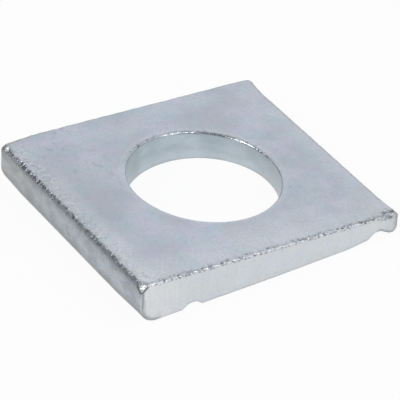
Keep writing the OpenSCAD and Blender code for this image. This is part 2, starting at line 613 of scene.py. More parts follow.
# %% Nicks
def nicks(points, size, seed, where):
    """Small round-bottomed nicks, 1 at their middles and 0 between them, only where wanted."""
    depth = np.zeros(len(points))
    for number in np.flatnonzero(where > 0.02):
        nearest = noise.voronoi(points[number] / size + 3.17 * seed)[0][0]
        depth[number] = max(0.0, 1 - 1.6 * nearest)
    return depth


unstruck = 1 - ease(np.linalg.norm(skin_points - STRUCK_CORNER, axis=1), 1.3, 0.9)
drawn_out = skin_points.copy()
drawn_out[:, 0] *= np.where(hole_gap < 1.5, 0.5, 0.72)
bite = nicks(drawn_out, 0.42, 1, np.maximum(torn_edge, torn_rim)) * unstruck
slanted = skin_points @ np.array([[0.6, 0, 0], [0.45, 1, 0], [0, 0, 0.6]])
speckled = np.maximum(crinkled, nose_corner)
far_teeth = nicks(slanted, 0.85, 7, crinkled * ease(skin_y, 0, 8))
teeth = np.maximum(nicks(slanted, 0.6, 2, speckled), 1.2 * far_teeth) * unstruck
print("nicked:", int((bite > 0).sum()), "points on edges,", int((teeth > 0).sum()), "on the shoulder")

# %% [markdown]
# Single marks sit at places of their own. Each is a bell curve around a point: 1 at its middle,
# and gone a little way out. The point is given roughly and then settled on the skin, as the net
# was. The first one is the small bright dent at the far end of the shoulder.

# %% Single spots
def spot(place, size, stretch=(1, 1, 1)):
    """1 at a place and fading out around it, with that size in millimetres."""
    apart = (skin_points - place) * np.array(stretch)
    return np.exp(-(np.linalg.norm(apart, axis=1) / size) ** 2)


def place_on_skin(x, y, z):
    """The place on the skin that is nearest to these coordinates."""
    return settle(np.array([[x, y, z]]))


dent_at = place_on_skin(thick_end + 0.5, half_width - 1.95, top_height(thick_end) - 0.38)
dent = spot(dent_at, 0.36)
print("dent at", dent_at.round(2))

# %% [markdown]
# Each kind of mark has its own depth. The wide waves bend the reflections a little, which is what
# tells rolled metal from plastic. Crinkles and teeth cut into the shoulder, chips and bites into
# the torn edges, a finer crinkle frays the strip of top beside the shoulder, and streaks run down
# the sheared faces. All of them are added up before any point moves.

# %% Depth of the marks
crinkle = lumps(slanted, 0.42, 4) + 0.6 * lumps(slanted, 0.24, 5)
chips = lumps(drawn_out, 0.6, 6) + 0.6 * lumps(drawn_out, 0.3, 7)
streaks = lumps(skin_points, 0.7, 8, (1, 1, 9))
waves = 0.022 * lumps(skin_points, 7, 1) + 0.005 * lumps(skin_points, 2.2, 2)
marks = waves + 0.0035 * lumps(skin_points, 0.8, 3)
crinkled = crinkled * (0.72 + 0.55 * ease(skin_y, 2, 10))
marks = marks - crinkled * unstruck * (0.05 * crinkle + 0.12 * teeth) - 0.06 * nose_corner * teeth
marks = marks - torn_edge * unstruck * (0.055 * chips + 0.09 * bite)
marks = marks - torn_rim * (0.03 * chips + 0.05 * bite)
frayed = ease(thick_gap, 3.5, 1.5) * (facing_z > 0.7) * (top_gap < 0.6) * unstruck
frayed = frayed * (0.45 + 0.55 * ease(lumps(skin_points, 2.5, 9), -0.2, 0.3))
marks = marks - frayed * 0.016 * crinkle
marks = marks - nose_edge * 0.045 * (chips + 0.3)
marks = marks * (1 - dent) - 0.2 * dent
marks = marks - (sheared + bore) * 0.012 * streaks
print("marks from", marks.min().round(3), "to", marks.max().round(3), "mm")

# %% [markdown]
# The points now move in or out along the direction that they face. The limits keep a rare deep
# crossing of marks from going through an edge, and the washer inside the CAD part's box.

# %% Move the points
DEEPEST = 0.22
HIGHEST = 0.06
BOX_SLACK = 0.03
worn_points = skin_points + facing * np.clip(marks, -DEEPEST, HIGHEST)[:, None]
box_low = np.array([thick_end, -half_width, 0]) - BOX_SLACK
box_high = np.array([thin_end, half_width, top_height(thick_end)]) + BOX_SLACK
worn_points = np.clip(worn_points, box_low, box_high)
write_points(washer_mesh, worn_points * MM)
print("visible size in mm:", (np.ptp(worn_points, axis=0)).round(3))

# %% [markdown]
# The finish will need to know where it is: on the shoulder, on a sheared face, in the bore or
# near an edge. The masks above already know, so they are kept on the mesh as named attributes.
# A material can read them anywhere, and they travel with the mesh when it is exported.

# %% Keep the first masks on the mesh
def keep_mask(name, values):
    """Stores one number for each point of the washer's mesh."""
    stored = washer_mesh.attributes.new(name, "FLOAT", "POINT")
    stored.data.foreach_set("value", values.astype(np.float32))
    print(name, "covers", f"{values.mean():.3f} of the points")


def strongest(*masks):
    """The largest of several masks at each point."""
    return np.maximum.reduce(masks)


upper_edges = np.maximum(torn_edge, torn_rim)
keep_mask("shoulder_band", shoulder)
keep_mask("sheared_face", np.clip(sheared, 0, 1))
keep_mask("bore_wall", bore)
keep_mask("torn_edges", strongest(upper_edges, 0.7 * nose_edge, nose_corner))
keep_mask("nose_corner", nose_corner)
keep_mask("frayed", frayed)
keep_mask("nick_depth", np.maximum(teeth * speckled, 0.8 * bite * upper_edges))

# %% [markdown]
# The near upper corner was struck in handling. The blow left a small bright flat, and the dark
# line round it is painted shade. Below, where the rolled skin of the thick end meets the sheared
# side, a dark seam of painted shade runs down the corner and fades towards the heel. A painted
# highlight shines further along the front edge, with a dark gap of painted shade before it, and a
# dark spot of painted shade lies at the seam's foot. The flat is already cut into the shape. The
# rest is as fine as the mesh's cells, so it becomes masks for the finish.

# %% The struck corner
to_struck = -struck_corner(skin_points)
near_corner = ease(np.maximum(thick_gap, side_gap), 1.6, 1.0) * near_side * ease(top_gap, 1.8, 1.2)
struck_rim = near_corner * np.exp(-((to_struck - 0.24) / 0.12) ** 2)
struck_rim = struck_rim * (0.35 + 0.65 * ease(top_gap, 0.05, 0.4))
end_gap = -rounded(-thick_gap, -foot_gap, HEEL + HEEL_WIDER_AT_SIDES)
corner_seam = np.exp(-((end_gap - 0.31) / 0.2) ** 2) * (skin_y < -half_width + 0.15)
corner_seam = corner_seam * ease(top_gap, 0.6, 1.2) * ease(thick_gap, 4, 2)
corner_seam = corner_seam * (0.72 - 0.25 * ease(foot_gap, 3.5, 2))
beside = thick_end + 1.05
gap_at = place_on_skin(beside, -half_width + 0.2, top_height(beside) - 0.35)
dark_spot_at = np.array([thick_end + 0.45, -half_width + 0.3, 1.15])
further = thick_end + 1.8
# A painted highlight further along the front edge.
edge_glint_at = place_on_skin(further, -half_width + 0.15, top_height(further) - 0.12)
painted_edge_glint = spot(edge_glint_at, 0.34, (0.6, 1, 1))
struck_flat = ease(to_struck, 0.14, 0.05) * (near_corner > 0)
# The struck flat is bright struck metal; the dent and the spot on the front edge are painted
# highlights.
keep_mask("struck_flat", strongest(struck_flat, dent, painted_edge_glint))

# %% [markdown]
# The rim's roll isn't evenly lit: three stretches of it get painted highlights, a short one gets
# painted shade, and a ring on the top just outside it is a little brighter. A stretch is where the
# cosine from `round_the_hole` is close to 1, which needs no counting of degrees past the full circle.

# %% The rim's painted highlights and painted shade
rim_roll = ease(hole_gap, 0.7, 0.4) * ease(top_gap, 0.6, 0.3)
rim_roll = rim_roll * ease(facing_z, 0.15, 0.4) * ease(facing_z, 0.98, 0.9)
# Painted shade on a short stretch of the rim.
dark_rim = 0.5 * rim_roll * ease(round_the_hole(skin_points, 51), 0.984, 0.994)
dark_rim = dark_rim * ease(lumps(skin_points, 0.5, 11), -0.5, 0.1)
highlight_arcs = strongest(
    ease(round_the_hole(skin_points, -16), 0.88, 0.98),
    ease(round_the_hole(skin_points, 85), 0.99, 0.997),
    ease(round_the_hole(skin_points, 34), 0.995, 0.999),
)
burnished = ease(hole_gap, 1.3, 0.8) * ease(hole_gap, 0.25, 0.5) * (facing_z > 0.5)
# Painted shade: the line round the struck flat, the seam, a dark gap, a dark spot and a rim stretch.
painted_shade_marks = strongest(
    struck_rim, corner_seam, 0.75 * spot(gap_at, 0.26), 0.8 * spot(dark_spot_at, 0.6), dark_rim
)
keep_mask("painted_shade_marks", painted_shade_marks)
keep_mask("rim_highlights", rim_roll * highlight_arcs)
keep_mask("burnished_ring", burnished)

# %% [markdown]
# The thick end's face is duller than the rest, and painted shade darkens it towards the shoulder
# and towards the heel. Fine streaks comb it just below the shoulder. Along the shoulder's upper
# border the crinkled skin is rubbed bright on its crests, which get painted highlights too. The
# foot edges, and the sheared side where it meets the heel, get painted shade.

# %% The thick end and the heel
near_thick_side = ease(facing_x, -0.3, -0.8) * (thick_gap < 4)
upper_fade = (0.5 - 0.2 * toward_far) * ease(top_gap, 2.1, 0.9)
thick_end_shade = near_thick_side * np.maximum(upper_fade, ease(foot_gap, 3.4, 1.1))
crest_line = near_thick * ease(shoulder_turn, 5, 12) * ease(shoulder_turn, 40, 28)
heel_shade = ease(end_gap, 0.8, 0.1) * ease(foot_gap, 2.6, 1.6) * (side_gap < 0.3) * near_side
heel_shade = heel_shade * ease(thick_gap, 4.5, 2.5)
keep_mask("thick_side", ease(facing_x, -0.75, -0.97) * (thick_gap < 4))
keep_mask("thick_end_shade", thick_end_shade)
keep_mask("combed", near_thick_side * ease(top_gap, 2.4, 1.3) * (top_gap > 0.4))
keep_mask("bare_crests_and_glints", crest_line * (1 + 0.5 * toward_far))
keep_mask("foot_edges_shade", np.maximum(foot_edge, 2.2 * heel_shade))

# %% [markdown]
# Edges that turn away from the light get thin dark outlines of painted shade: the far side's edge,
# and the near side's edge round the nose and the lip. The torn front edge gets the opposite:
# painted highlights on its crests near the thick end.

# %% Painted dark outlines and painted highlights on the crests
far_turn = np.maximum(facing_y, facing_x - 0.1) * (facing_z > 0) * (top_gap < 2)
far_nose_corner = ease(skin_x + skin_y, 37, 39) * ease(side_gap, 1.2, 0.5)
far_band = strongest(
    ease(far_turn, 0.08, 0.3) * (hole_gap > 2),
    ease(far_turn, 0.02, 0.1) * ease(skin_x, -10, -18),
    ease(far_turn, 0.02, 0.12) * far_nose_corner,
)
lip_gap = np.where(skin_x > 17.6, np.minimum(thin_gap, foot_gap + 0.25), thin_gap)
nose_outline = ease(np.maximum(lip_gap, side_gap), 0.85, 0.4) * near_side
edge_crests = torn_edge * ease(facing_z, 0.15, 0.4) * ease(facing_z, 0.97, 0.8)
edge_crests = edge_crests * ease(skin_x, -11, -13.5) * near_side * unstruck
keep_mask("far_edges", np.maximum(far_band, nose_outline))
keep_mask("edge_crests", edge_crests)

# %% [markdown]
# The mesh becomes the piece. It rides on the washer's one body, and the CAD node stays hidden
# under it.

# %% The piece
washer_mesh.shade_smooth()
washer = bpy.data.objects.new("zinc_washer", washer_mesh)
bpy.context.scene.collection.objects.link(washer)
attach(washer, "root")
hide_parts("taper_washer")
print("triangles:", sum(len(cell.vertices) - 2 for cell in washer_mesh.polygons))

# %% [markdown]
# ## Writing a material as sums
#
# A material is a net of nodes. Built by hand in code, even one sum takes four lines. So a small
# class wraps a socket and answers to +, - and *, and each of these adds a Math node. Colours and
# vectors don't go through it, because a Math node would turn a colour grey. Every other node
# comes from one method, which takes the node's kind, its settings and its inputs.

# %% Wires and paint
class Wire:
    """A socket that carries one number, for use in plain sums."""

    def __init__(self, paint, socket):
        self.paint = paint
        self.socket = socket

    def _math(self, operation, first, second):
        return self.paint.node("ShaderNodeMath", {"operation": operation}, {0: first, 1: second})

    def __add__(self, other):
        return self._math("ADD", self, other)

    def __radd__(self, other):
        return self._math("ADD", other, self)

    def __sub__(self, other):
        return self._math("SUBTRACT", self, other)

    def __rsub__(self, other):
        return self._math("SUBTRACT", other, self)

    def __mul__(self, other):
        return self._math("MULTIPLY", self, other)

    def __rmul__(self, other):
        return self._math("MULTIPLY", other, self)

    def larger(self, other):
        return self._math("MAXIMUM", self, other)


class Paint:
    """Adds nodes to one node tree."""

    def __init__(self, tree):
        self.tree = tree
        tree.nodes.clear()

    def node(self, kind, settings=None, inputs=None, output=0):
        """Adds a node, sets it up, feeds its inputs, and hands back one output."""
        made = self.tree.nodes.new(kind)
        for name, value in (settings or {}).items():
            setattr(made, name, value)
        for key, value in (inputs or {}).items():
            self.feed(self.find(made.inputs, key), value)
        return Wire(self, self.find(made.outputs, output)) if len(made.outputs) else None

    def find(self, sockets, key):
        """A socket by its number, its identifier or its name."""
        if isinstance(key, int):
            return sockets[key]
        named = [socket for socket in sockets if socket.identifier == key]
        return named[0] if named else sockets[key]

    def feed(self, socket, value):
        """Links a wire to a socket, or sets the socket's own value."""
        if isinstance(value, Wire):
            self.tree.links.new(value.socket, socket)
        else:
            socket.default_value = value


def new_material(name):
    """An empty material with nodes, and the paint for it."""
    material = bpy.data.materials.new(name)
    material.use_nodes = True
    return material, Paint(material.node_tree)


zinc, paint = new_material("zinc_plate")
print("material:", zinc.name)

# %% [markdown]
# ## Zinc plate
#
# Zinc plate is a metal finish, so most of its colour is what it reflects. It is satin rather
# than mirror bright, because the coat is a carpet of fine crystals. A thin blue passivate lies on
# it, and it is not even: wide soft clouds lean to blue-green in one place and to lilac in the
# next. Finer grain lies over the clouds. The rolled faces show faint lines along the rolling
# direction, and the sheared ones show streaks from top to bottom.
#
# Everything is placed by object coordinates, which are in metres here, so a size in millimetres
# turns into a scale of a thousand divided by that size.

# %% Noise by size
def crystals(paint, size, stretch=(1, 1, 1), detail=2.0, seed=0.0):
    """A noise between 0 and 1 with features of that size in millimetres."""
    place = paint.node("ShaderNodeTexCoord", output="Object")
    scale = [1 / (size * MM * along) for along in stretch]
    moved = paint.node(
        "ShaderNodeMapping",
        {"vector_type": "POINT"},
        {"Vector": place, "Location": (seed, 1.7 * seed, 0.6 * seed), "Scale": scale},
    )
    return paint.node(
        "ShaderNodeTexNoise",
        {"noise_dimensions": "3D"},
        {"Vector": moved, "Scale": 1.0, "Detail": detail, "Roughness": 0.55},
        "Fac",
    )


def between(paint, value, start, end):
    """Stretches the part from start to end over 0 to 1, with soft ends."""
    return paint.node(
        "ShaderNodeMapRange",
        {"interpolation_type": "SMOOTHSTEP", "clamp": True},
        {"Value": value, "From Min": start, "From Max": end},
        "Result",
    )


def mix_colour(paint, share, first, second):
    """Mixes two colours: the first one where the share is 0, the second where it is 1."""
    return paint.node(
        "ShaderNodeMix",
        {"data_type": "RGBA"},
        {"Factor_Float": share, "A_Color": first, "B_Color": second},
        "Result_Color",
    )


print("a noise of 1 mm has a scale of", round(1 / MM), "per metre")

# %% [markdown]
# Every layer of the zinc is made the same way: some patches, a place, and a tint that is laid
# over the colour so far with a share. Three small functions say just that, and a fourth reads a
# mask from the mesh. Painting an image would be the other way, but it would have one resolution.

# %% Layers of the finish
def mask(name):
    """One of the masks that the mesh carries."""
    settings = {"attribute_type": "GEOMETRY", "attribute_name": name}
    return paint.node("ShaderNodeAttribute", settings, None, "Fac")


def patches(size, low, high, stretch=(1, 1, 1), detail=2.0, seed=0.0):
    """Soft-edged patches: the part of a noise between two of its levels."""
    return between(paint, crystals(paint, size, stretch, detail, seed), low, high)


def zone(along, start, end):
    """0 before the start and 1 past the end of a stretch, both in millimetres."""
    return between(paint, along, start * MM, end * MM)


def tinted(base, share, tint):
    """A colour with a share of a tint laid over it."""
    return mix_colour(paint, share, base, (*tint, 1))


here = paint.node("ShaderNodeTexCoord", output="Object")
lengthwise = paint.node("ShaderNodeSeparateXYZ", None, {0: here}, "X")
crosswise = paint.node("ShaderNodeSeparateXYZ", None, {0: here}, "Y")
upward = paint.node("ShaderNodeSeparateXYZ", None, {0: here}, "Z")
print("nodes so far:", len(zinc.node_tree.nodes))

# %% Clouds in the passivate
BLUE_GREEN = (0.615, 0.74, 0.835)
LILAC = (0.74, 0.725, 0.88)
SLATE = (0.45, 0.48, 0.52)
PEWTER = (0.70, 0.745, 0.775)
LEAD = (0.44, 0.475, 0.515)
clouds = patches(3.2, 0.32, 0.68, detail=4.0)
colour = mix_colour(paint, clouds, (*BLUE_GREEN, 1), (*LILAC, 1))
colour = tinted(colour, 0.18 * patches(1.1, 0.3, 0.7, detail=4.0, seed=15.0), SLATE)
colour = tinted(colour, 0.5 * patches(2.6, 0.35, 0.65, detail=3.0, seed=21.0), PEWTER)
colour = tinted(colour, 0.38 * (1 - patches(8.0, 0.35, 0.65, detail=3.5, seed=5.0)), LEAD)
print("clouds between", BLUE_GREEN, "and", LILAC)

# %% [markdown]
# The top isn't evenly bright either. It is paler along the shoulder, in front of the hole, by the
# nose and along the front edge. Between the shoulder and the hole, and in a spot by the nose, it is
# darker, and a few smudges lie at the far corner of the thick end. Each of these is a zone with soft
# borders, because a hard border would look like a sticker.

# %% Paler and darker places on the top
DARKER_TOP_TONE = (0.42, 0.46, 0.5)
PALER_TOP_TONE = (0.9, 0.93, 0.97)
PALE_COAT = (0.92, 0.95, 0.98)
SMUDGE = (0.3, 0.33, 0.38)
darker_zone = zone(lengthwise, -12.5, -18) * zone(crosswise, -12, -5) * zone(crosswise, 17, 11)
colour = tinted(colour, darker_zone * (0.2 + 0.12 * zone(crosswise, -1, 4)), DARKER_TOP_TONE)
near_half = zone(crosswise, -1, -6)
middle_half = zone(crosswise, 11, 7) * (1 - near_half)
paler_by_shoulder = zone(lengthwise, -18.5, -20.5) * (0.3 * near_half + 0.2 * middle_half)
colour = tinted(colour, paler_by_shoulder, PALER_TOP_TONE)
below_hole = zone(lengthwise, -8, -3) * zone(lengthwise, 9, 4) * zone(crosswise, -11.5, -13.5)
colour = tinted(colour, 0.2 * below_hole, PALE_COAT)
darker_spot = zone(lengthwise, 15, 17.5) * zone(crosswise, -11.5, -8) * zone(crosswise, -1, -4)
colour = tinted(colour, 0.13 * darker_spot, DARKER_TOP_TONE)
colour = tinted(colour, 0.2 * zone(lengthwise, 16, 20), PALE_COAT)
colour = tinted(colour, 0.33 * zone(crosswise, -12, -18.5), PALE_COAT)
far_left = zone(lengthwise, -8, -13) * zone(crosswise, 2, 8)
smudges = patches(0.9, 0.58, 0.7, (1, 2.2, 1), 3.0, 23.0)
colour = tinted(colour, 0.3 * smudges * far_left, SMUDGE)
print("nodes with the places on the top:", len(zinc.node_tree.nodes))

# %% [markdown]
# The sheared sides are fresh steel under their zinc, so they come out paler and less blue. Soft
# cool and warm clouds lie on them. They are warmest by the thick end and a little darker by the
# nose. A second material would do too, but it would meet the first one in a hard line.

# %% Zinc on the sheared faces
SHEARED_ZINC = (0.69, 0.72, 0.74)
COOL_ZINC = (0.665, 0.71, 0.79)
WARM_ZINC = (0.76, 0.77, 0.755)
WARM_END = (0.9, 0.9, 0.88)
NOSE_SHADE = (0.45, 0.48, 0.5)
sheared_face = mask("sheared_face")
colour = tinted(colour, sheared_face, SHEARED_ZINC)
cool_clouds = patches(3.0, 0.42, 0.62, detail=3.0, seed=31.0) * sheared_face
colour = tinted(colour, 0.55 * cool_clouds, COOL_ZINC)
warm_clouds = patches(2.0, 0.48, 0.68, detail=3.0, seed=32.0) * sheared_face
colour = tinted(colour, 0.4 * warm_clouds, WARM_ZINC)
toward_thick = zone(lengthwise, -13, -22) * sheared_face
colour = tinted(colour, 0.42 * toward_thick, WARM_END)
toward_nose = zone(lengthwise, 17.5, 20.5) * sheared_face
colour = tinted(colour, 0.3 * toward_nose, NOSE_SHADE)
print("sheared faces are", SHEARED_ZINC)

# %% [markdown]
# The bore's wall is darker and bluer than the sheared sides, and stained in flat patches. Painted
# light lies on it too: it is darker on the left and paler on the right, two stretches get painted
# shade, the part that turns away gets painted shade and the strip under the rim a painted shadow.
# It gets paler towards its foot. It is mixed as a colour of its own and then laid in by its mask.

# %% Zinc in the bore
BORE_SHADED_SIDE = (0.48, 0.565, 0.62)
BORE_LIT_SIDE = (0.54, 0.62, 0.685)
BORE_STAIN = (0.31, 0.37, 0.41)
BORE_SHADE_PATCH = (0.3, 0.38, 0.42)
BORE_AWAY_SHADE = (0.34, 0.38, 0.4)
BORE_FOOT = (0.85, 0.9, 0.93)
RIM_SHADE = (0.28, 0.33, 0.35)
bore_wall = mask("bore_wall")
# Painted light: the wall is darker on its left side and paler on its right.
wall = mix_colour(paint, zone(lengthwise, -2, 6), (*BORE_SHADED_SIDE, 1), (*BORE_LIT_SIDE, 1))
wall = tinted(wall, 0.35 * patches(2.2, 0.42, 0.64, (1.8, 1.8, 0.7), 4.0, 22.0), BORE_STAIN)
# Painted shade on two stretches of the wall.
shaded_left = zone(lengthwise, -9.8, -8) * zone(lengthwise, -3.5, -5.5)
shaded_right = zone(lengthwise, 5, 6.5) * zone(lengthwise, 9.5, 8)
wall = tinted(wall, 0.65 * shaded_left + 0.3 * shaded_right, BORE_SHADE_PATCH)
# Painted shade where the wall turns away.
turned_away_shade = zone(crosswise, 9.5, -3) * zone(lengthwise, 0, 8)
wall = tinted(wall, 0.55 * turned_away_shade, BORE_AWAY_SHADE)
wall = tinted(wall, 0.18 * zone(upward, 2.8, 0.6), BORE_FOOT)
# Painted shadow under the rim.
under_rim = zone(upward, 2.4, 3.8) * zone(lengthwise, 4, 6.5)
wall = tinted(wall, 0.22 * under_rim, RIM_SHADE)
colour = mix_colour(paint, bore_wall, colour, wall)
print("bore wall between", BORE_SHADED_SIDE, "and", BORE_LIT_SIDE)

# %% [markdown]
# The blade and the punch scratch the metal as they pass, so thin streaks run from top to bottom
# on both. A fine noise, stretched ten times upwards, draws them. They are kept for the bump too.

# %% Tear streaks
STREAK_SHADE = (0.5, 0.53, 0.55)
torn_walls = sheared_face.larger(bore_wall)
tear_streaks = crystals(paint, 0.5, (1, 1, 10), 3.0, 4.0)
colour = tinted(colour, 0.2 * (between(paint, tear_streaks, 0.45, 0.75) * torn_walls), STREAK_SHADE)
print("nodes with the streaks:", len(zinc.node_tree.nodes))

# %% [markdown]
# The thick end's face is duller than the top, and darker: partly its own zinc and partly painted
# shade for a face turned away from the light. It turns yellowish towards the far side, and is
# mottled with dark blotches and paler ones. The last layer is painted shade under the shoulder and
# over the heel.

# %% Zinc on the thick end
THICK_END_ZINC_AND_SHADE = (0.46, 0.51, 0.55)
YELLOWED_ZINC = (0.46, 0.455, 0.435)
BLOTCH = (0.31, 0.32, 0.33)
PALE_BLOTCH = (0.68, 0.7, 0.73)
END_SHADE = (0.24, 0.24, 0.24)
thick_side = mask("thick_side")
# Partly painted shade: the thick end's colour is darker than its zinc alone.
colour = tinted(colour, 0.8 * thick_side, THICK_END_ZINC_AND_SHADE)
colour = tinted(colour, 0.6 * (zone(crosswise, -8, 18) * thick_side), YELLOWED_ZINC)
blotches = patches(1.7, 0.42, 0.62, (1, 1.3, 0.9), 5.0, 9.0)
colour = tinted(colour, 0.5 * blotches * thick_side, BLOTCH)
pale_blotches = patches(1.1, 0.52, 0.66, (1, 1.5, 0.8), 4.0, 25.0)
colour = tinted(colour, 0.3 * pale_blotches * thick_side, PALE_BLOTCH)
# Painted shade under the shoulder and over the heel.
colour = tinted(colour, 0.62 * mask("thick_end_shade"), END_SHADE)
print("thick end is", THICK_END_ZINC_AND_SHADE)

# %% [markdown]
# The crinkled band is dark, partly its own crinkled skin and partly painted shade for the dark
# room that it mirrors, and darkest in its flecks. Above it the top is frayed, with dark specks and
# bare crests, and below it the end's face is combed with dark streaks. At the far corner pale
# ticks of painted highlight cross the band. The front edge has painted glints near the thick end.
# All of them are noises drawn out one way: across the band on the shoulder, along the edge in front.

# %% Zinc on the crinkled shoulder
SHOULDER_SHADE = (0.14, 0.15, 0.16)
COMB_SHADE = (0.2, 0.21, 0.225)
FRAYED_SHADE = (0.28, 0.3, 0.32)
FRAYED_CREST = (0.97, 0.97, 0.99)
EDGE_GLINT = (0.97, 0.98, 1)
CORNER_TICK = (0.8, 0.83, 0.87)
BARE_CREST_GLINT = (0.95, 0.96, 0.98)
shoulder_band = mask("shoulder_band")
flecks = patches(0.4, 0.4, 0.62, (2.0, 0.65, 2.0), 4.0, 3.0)
combed = mask("combed") * patches(0.4, 0.42, 0.66, (2.5, 0.6, 2.5), 4.0, 26.0)
colour = tinted(colour, 0.4 * combed, COMB_SHADE)
frayed_specks = patches(0.55, 0.48, 0.58, (1, 0.8, 1), 4.0, 27.0) * mask("frayed")
colour = tinted(colour, 0.5 * frayed_specks, FRAYED_SHADE)
frayed_crests = patches(0.6, 0.46, 0.58, (1.5, 0.7, 1.5), 4.0, 28.0) * mask("frayed")
colour = tinted(colour, 0.75 * frayed_crests, FRAYED_CREST)
# Painted glints on the torn front edge's crests near the thick end.
edge_glints = patches(0.55, 0.5, 0.58, (3.0, 1, 1), 3.0, 33.0) * mask("edge_crests")
colour = tinted(colour, 0.75 * edge_glints, EDGE_GLINT)
# Painted shade for the dark room mirrored in the shoulder, over the crinkled skin's own darkness.
colour = tinted(colour, shoulder_band * (0.55 + 0.4 * flecks), SHOULDER_SHADE)
# Painted highlights: pale ticks across the band at the far corner.
corner_ticks = patches(0.35, 0.48, 0.58, (3.0, 0.9, 3.0), 3.0, 34.0) * shoulder_band
colour = tinted(colour, 0.55 * (corner_ticks * zone(crosswise, 12.5, 16)), CORNER_TICK)
# Partly rubbed zinc, partly painted highlights on the crests.
bare_crests_and_glints = patches(0.45, 0.46, 0.6, detail=3.0, seed=8.0) * mask("bare_crests_and_glints")
colour = tinted(colour, 0.6 * bare_crests_and_glints, BARE_CREST_GLINT)
print("shoulder shade is", SHOULDER_SHADE)

# %% [markdown]
# Dirt and thin zinc darken the torn edges. The bottoms of the nicks get painted shade, and
# brown-black specks sit in the pits at the nose's near corner. The nicks' depth is a mask, so each
# dark dot of painted shade lies in a real hollow of the mesh. The foot edges get painted shade too.

# %% Dirt on the torn edges, and painted shade in the nicks and at the foot
EDGE_DIRT = (0.2, 0.21, 0.22)
NICK_SHADE = (0.08, 0.085, 0.09)
NOSE_SPECK = (0.09, 0.085, 0.08)
FOOT_SHADE = (0.34, 0.36, 0.38)
torn_edges = mask("torn_edges")
dirt = patches(0.5, 0.52, 0.66, detail=4.0, seed=6.0)
colour = tinted(colour, torn_edges * (0.08 + 0.6 * dirt), EDGE_DIRT)
# Painted shade in the bottoms of the nicks.
colour = tinted(colour, 0.75 * between(paint, mask("nick_depth"), 0.15, 0.6), NICK_SHADE)
nose_specks = patches(0.45, 0.48, 0.58, (1.8, 1, 1), 3.0, 24.0) * mask("nose_corner")
colour = tinted(colour, 0.7 * nose_specks, NOSE_SPECK)
# Painted shade along the foot edges and by the heel.
colour = tinted(colour, 0.22 * mask("foot_edges_shade"), FOOT_SHADE)
print("nodes with the edges:", len(zinc.node_tree.nodes))

# %% [markdown]
# Last come the single marks: the struck flat with its few dull grains, and the painted highlights
# in the dent and further along the front edge; the painted shade of the dark lines and spots; the
# painted shade of the dark outlines; and the burnished ring and the painted highlights on the rim.

# %% Single marks
STRUCK_ZINC_AND_HIGHLIGHT = (0.94, 0.95, 0.96)
SHADE_MARK_DARK = (0.06, 0.06, 0.065)
OUTLINE_SHADE = (0.26, 0.25, 0.22)
BURNISHED_ZINC = (1, 1, 1)
RIM_HIGHLIGHT = (0.95, 0.97, 1)
# Struck metal, with painted highlights in the dent and on the front edge.
struck_shine = mask("struck_flat")
struck_share = struck_shine * (1 - 0.4 * patches(0.4, 0.52, 0.66, seed=14.0))
colour = tinted(colour, 0.9 * struck_share, STRUCK_ZINC_AND_HIGHLIGHT)
# Painted shade of the dark lines and spots.
colour = tinted(colour, 0.92 * mask("painted_shade_marks"), SHADE_MARK_DARK)
# Painted shade: thin dark outlines on edges that turn away from the light.
colour = tinted(colour, 0.55 * mask("far_edges"), OUTLINE_SHADE)
colour = tinted(colour, 0.14 * mask("burnished_ring"), BURNISHED_ZINC)
# Painted highlights on three stretches of the rim's roll.
colour = tinted(colour, 0.55 * mask("rim_highlights"), RIM_HIGHLIGHT)
print("struck zinc is", STRUCK_ZINC_AND_HIGHLIGHT)

# %% [markdown]
# The finest part of the colour is a grain, about a quarter of a millimetre across, with a few
# larger dark specks. It lies over everything, and is weaker on the sheared walls.

# %% Fine grain
GRAIN_SHADE = (0.45, 0.49, 0.53)
SPECK_SHADE = (0.36, 0.39, 0.42)
grain = patches(0.28, 0.35, 0.7, seed=1.0)
colour = tinted(colour, (0.33 - 0.15 * torn_walls) * grain, GRAIN_SHADE)
colour = tinted(colour, 0.4 * patches(0.8, 0.62, 0.76, detail=5.0, seed=2.0), SPECK_SHADE)
print("nodes in the colour:", len(zinc.node_tree.nodes))

# %% [markdown]
# Roughness says how sharp the reflections are. Zinc plate is satin all over, a bit rougher on the
# dull thick end, and smoother in the bore and where it was struck. The bump only bends the light.
# It carries what is too fine for the mesh: the grain, the faint lines of the rolling, the
# streaks, and the roughness of the flecks and the dirt. The larger marks are in the mesh.

# %% Roughness and bump
BUMP_DEPTH = 0.03 * MM
roughness = 0.40 + 0.10 * (crystals(paint, 1.5, detail=3.0, seed=7.0) - 0.5)
roughness = roughness - 0.05 * torn_edges + 0.14 * thick_side - 0.1 * bore_wall
roughness = roughness - 0.12 * struck_shine
fine = crystals(paint, 0.16, detail=3.0, seed=11.0)
rolling = crystals(paint, 0.3, (1, 20, 1), 2.0, 12.0)
height = 0.7 * fine + 0.25 * rolling + 0.4 * tear_streaks * torn_walls
height = height + 2.0 * flecks * shoulder_band + 1.5 * dirt * torn_edges
surface = paint.node(
    "ShaderNodeBump",
    None,
    {"Strength": 0.6, "Distance": BUMP_DEPTH, "Height": height},
    "Normal",
)
print("a bump height of 1 stands for", BUMP_DEPTH, "m")

# %% [markdown]
# One shader takes it all. It is nearly all metal, but not quite, because the passivate scatters
# some light as paint does. Two shaders mixed by a mask would say no more here.

# %% The finish
METAL_SHARE = 0.9
zinc_shader = paint.node(
    "ShaderNodeBsdfPrincipled",
    None,
    {"Base Color": colour, "Metallic": METAL_SHARE, "Roughness": roughness, "Normal": surface},
    "BSDF",
)
paint.node("ShaderNodeOutputMaterial", None, {"Surface": zinc_shader})
washer_mesh.materials.append(zinc)
print("zinc plate is on", washer.name)

# %% [markdown]
# ## Floor
#
# The photograph shows the washer on a pure white ground. A floor that is only painted white
# would come out grey wherever the light is soft. So the floor is partly plain pale paint, which
# keeps the washer's shadow, and partly a plain white that only the camera and reflections see.

